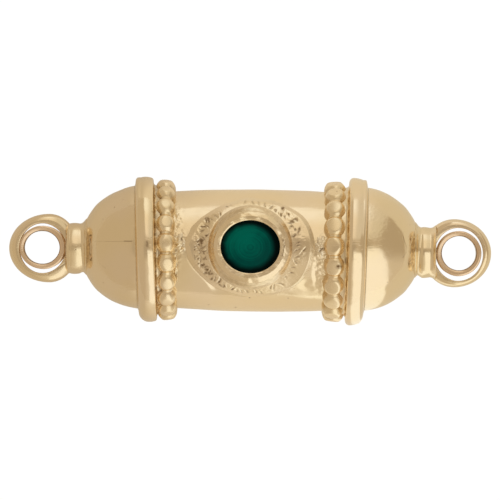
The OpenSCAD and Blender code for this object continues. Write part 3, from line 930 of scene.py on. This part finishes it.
def make_solder_lump(name, centre, half_x, half_y, thickness, seed):
    """A rough patch of solder that lies on the tube and thins out round its edge."""
    columns, rows = 72, 22
    angle = full_circle(columns)
    share = np.linspace(0, 1, rows)[:, None]
    ragged = 1 + 0.16 * np.sin(3 * angle + seed) + 0.1 * np.sin(7 * angle + 2 * seed)
    x = centre[0] + half_x * share * ragged * np.cos(angle)
    y = centre[1] + half_y * share * ragged * np.sin(angle)
    plan = stacked(x, y, 0)
    rough = 0.6 * waves(plan, 0.4, seed) + 0.3 * waves(plan, 0.16, seed + 1)
    height = thickness * (0.9 + 0.8 * rough) * (1 - share**2) - 0.03 * share**4
    # Two more rows close it underneath, inside the tube.
    x, y = (np.vstack([line, line[-1], np.full(columns, at)]) for line, at in zip((x, y), centre))
    grid = on_tube(x, y, np.vstack([height, np.full((2, columns), -0.08)]))
    # Painted shade in the solder's low spots.
    sunk = np.vstack([np.clip(-1.3 * rough - 0.1, 0, 1) * (1 - share**4), np.zeros((2, columns))])
    make_piece(name, grid, SOLDER_GOLD, "gold", "barrel", closed=False, sunk=sunk)


make_tube()
make_seat()
make_bezel()
make_stone()
BEADED_WIRE = beaded_wire_tree()
make_beaded_ring(LEFT, 0.8, [], wire_r=0.42, Bead_Radius=0.7 * MM, Bead_Length=0.9, Worn_Height=0.885,
                 Worn_Tilt=0.09, First_Angle=math.radians(174), Seed=5)
make_beaded_ring(RIGHT, 0.2, [(5.5, -0.95, 0.3)], wire_r=0.46, Bead_Radius=0.74 * MM, Bead_Length=0.92,
                 Worn_Height=0.82, Worn_Tilt=-0.1, First_Angle=math.radians(175.7), Seed=8)
make_cap(LEFT, [(6.36, 0.3, 0.12, 0.26)], crest=0.475, crown_r=1.1, bead_round=0.12,
         flare=[(6.98, 4.36, 0.33), (7.04, 3.92, 0.06)])
make_cap(RIGHT, [(5.9, -0.58, 0.12, 0.4)], crest=0.28, crown_r=1.4, bead_round=0.27,
         flare=[(7.1, 4.38, 0.3), (7.17, 3.98, 0.05)])
make_neck(LEFT, [
    (10.2, 1.75), (10.28, 1.655), (10.38, 1.565), (10.48, 1.541), (10.6, 1.558), (10.76, 1.578),
    (10.92, 1.584), (11.06, 1.576), (11.2, 1.555)])
make_neck(RIGHT, [
    (10.28, 1.72), (10.36, 1.62), (10.44, 1.55), (10.54, 1.539), (10.64, 1.559), (10.7, 1.58),
    (10.8, 1.586), (10.92, 1.58), (11.06, 1.562), (11.2, 1.546), (11.32, 1.57), (11.42, 1.63), (11.5, 1.7)])
make_loop(LEFT, outer=(12.5, 0, 2.5, 1.8, 2.13), inner=(12.93, -0.01, 1.4, 1.47, 1.543))
make_loop(RIGHT, outer=(12.68, -0.02, 2.31, 1.95, 2.12), inner=(12.95, -0.09, 1.54, 1.5, 1.645))
make_liner(LEFT, hole=(12.93, 0.04, 1.09, 1.02), outer=(12.88, 0.04, 1.45, 1.34))
make_liner(RIGHT, hole=(12.98, -0.02, 1.065, 1.06), outer=(12.96, -0.04, 1.4, 1.4))
make_solder_lump("solder_left_tip", (-4.35, 0.35), 0.4, 0.7, 0.05, seed=3)
make_solder_lump("solder_left_edge", (-4.55, -1.2), 0.13, 0.9, 0.06, seed=4)
make_solder_lump("solder_drop", (-4.17, 0.1), 0.14, 0.11, 0.09, seed=7)
make_solder_lump("solder_right_tip", (4.35, 0.35), 0.4, 0.75, 0.036, seed=6)

# The studio: a white floor under a light tent, with two soft panels beside the bead.
CAMERA_UP = 450
VIEW_WIDTH = 31.1
VIEW_TURN = math.radians(0.68)
FLOOR_HALF = 600
TENT_HEIGHT = 12
EVEN_WALL = (0.54, 0.447, 0.321, 1)
OVERHEAD = (0.44, 0.363, 0.263, 1)
RIGHT_WALL = (0.465, 0.382, 0.271, 1)
NEAR_WALL = (0.64, 0.556, 0.422, 1)
FAR_PANEL_LOW = (0.98, 0.944, 0.843, 1)
FAR_PANEL_HIGH = (0.88, 0.777, 0.611, 1)
FAR_PANEL_RIGHT = (0.68, 0.61, 0.477, 1)
NEAR_PANEL = (1.02, 0.978, 0.856, 1)
# The floor's painted glow, seen in reflections: dim, lit by the panels, to the right, and a pool by the near
# panel.
PAINTED_DIM_GLOW = (0.34, 0.28, 0.2, 1)
PAINTED_LIT_GLOW = (0.52, 0.46, 0.36, 1)
PAINTED_RIGHT_GLOW = (0.45, 0.4, 0.3, 1)
PAINTED_PANEL_POOL_GLOW = (0.8, 0.8, 0.72, 1)
CAMERA_PAPER = (0.97, 0.97, 0.97, 1)


def soft_panel_group():
    """Where a direction meets a panel that faces the bead: 1 within its edges and 0 past them.
    The edges are in shares of the panel's distance, across along X and up along the panel."""
    g, at, out = new_group("soft panel", "Shader", {
        "Direction": ORIGIN, "Facing": (0, 1, 0), "Up": (0, 0, 1), "Left": -1.0, "Right": 1.0,
        "Top": 1.0, "Softness": 0.05,
    }, {"Seen": "Float", "Across": "Float", "Height": "Float"})
    towards = g.vector("DOT_PRODUCT", at["Direction"], at["Facing"])
    ahead = g.math("MAXIMUM", towards, 0.02)
    across = g.vector("DOT_PRODUCT", at["Direction"], (1, 0, 0)) / ahead
    height = g.vector("DOT_PRODUCT", at["Direction"], at["Up"]) / ahead
    seen = g.remap(towards, 0.02, 0.12)
    for room in (across - at["Left"], at["Right"] - across, at["Top"] - height):
        seen = seen * g.remap(room / at["Softness"], -1.0, 1.0)
    g.fill(out, Seen=seen, Across=across, Height=height)
    return g.tree


def make_sky():
    """The tent's walls, the darker place overhead where the camera stands, and the two panels."""
    world = bpy.data.worlds.new("studio")
    bpy.context.scene.world = world
    g = open_tree(world)
    way = g.get("TexCoord", "Generated")
    x, y, z = g.separate(way)
    panel = soft_panel_group()
    wall = g.mix(g.remap(z, 0.9, 0.98), EVEN_WALL, OVERHEAD)
    wall = g.mix(g.remap(x, 0.5, 0.75), wall, RIGHT_WALL)
    wall = g.mix(g.remap(y, -0.4, 0.0, 1.0, 0.0) * g.remap(x, -0.3, -0.05), wall, NEAR_WALL)
    far = g.group(panel, Direction=way, Facing=(0, 0.898, 0.44), Up=(0, -0.44, 0.898), Left=-0.14,
                  Right=0.95, Top=0.94, Softness=0.06)
    glow = g.mix(g.remap(far["Height"], -0.2, 0.3), FAR_PANEL_LOW, FAR_PANEL_HIGH)
    glow = g.mix(g.remap(far["Across"], 0.05, 0.5), glow, FAR_PANEL_RIGHT)
    near = g.group(panel, Direction=way, Facing=(0, -0.664, 0.748), Up=(0, 0.748, 0.664), Left=0.11,
                   Right=1.2, Top=0.88, Softness=0.04)
    wall = g.mix(near["Seen"], g.mix(far["Seen"], wall, glow), NEAR_PANEL)
    tent, white = (g.get("Background", 0, Color=colour, Strength=1.0) for colour in (wall, WHITE))
    g.add("OutputWorld", Surface=g.camera_mix(tent, white))


def make_floor():
    """A white floor: paper with a faint diffuse part, and a glow seen in reflections alone that is painted
    panel light from the right; just about white to the camera.
    """
    half = FLOOR_HALF * MM
    mesh = bpy.data.meshes.new("floor")
    mesh.from_pydata([(-half, -half, 0), (half, -half, 0), (half, half, 0), (-half, half, 0)], [],
                     [(0, 1, 2, 3)])
    paper = bpy.data.materials.new("white paper")
    g = open_tree(paper)
    spot = g.get("TexCoord", "Object")
    away = g.vector("LENGTH", spot) + TENT_HEIGHT * MM
    side = g.separate(g.vector("DIVIDE", spot, g.combine(away, away, away)))[0]
    glow = g.mix(g.remap(side, -0.4, -0.05), PAINTED_DIM_GLOW, PAINTED_LIT_GLOW)
    glow = g.mix(g.remap(side, 0.3, 0.5), glow, PAINTED_RIGHT_GLOW)
    # A painted pool of the near panel's light on a slanting stretch beside the right dome.
    x, y, _ = g.separate(spot)
    painted_panel_pool = g.remap(x, 6.4 * MM, 7.0 * MM) * g.remap(y * 0.707 + x, 4.2 * MM, 4.8 * MM, 1.0, 0.0)
    glow = g.mix(painted_panel_pool, glow, PAINTED_PANEL_POOL_GLOW)

    def lit_paper(grey, light):
        diffuse = g.get("BsdfDiffuse", 0, Color=(grey, grey, grey, 1))
        return g.get("AddShader", 0, i0=diffuse, i1=g.get("Emission", 0, Color=light, Strength=1.0))

    g.add("OutputMaterial", Surface=g.camera_mix(lit_paper(0.35, glow), lit_paper(0.1, CAMERA_PAPER)))
    mesh.materials.append(paper)
    link_new("floor", mesh)


def make_camera():
    """Straight above the bead, turned so that its right end sits a little low, as in the photograph."""
    data = bpy.data.cameras.new("camera")
    data.sensor_width = 36
    data.lens = data.sensor_width * CAMERA_UP / VIEW_WIDTH
    data.clip_start, data.clip_end = 0.01, 10
    camera = link_new("camera", data)
    camera.location = (-0.01 * MM, 0.03 * MM, (AXIS_Z + CAMERA_UP) * MM)
    camera.rotation_euler = (0, 0, VIEW_TURN)
    bpy.context.scene.camera = camera


make_floor()
make_sky()
make_camera()
bpy.context.scene.view_settings.view_transform = "Standard"
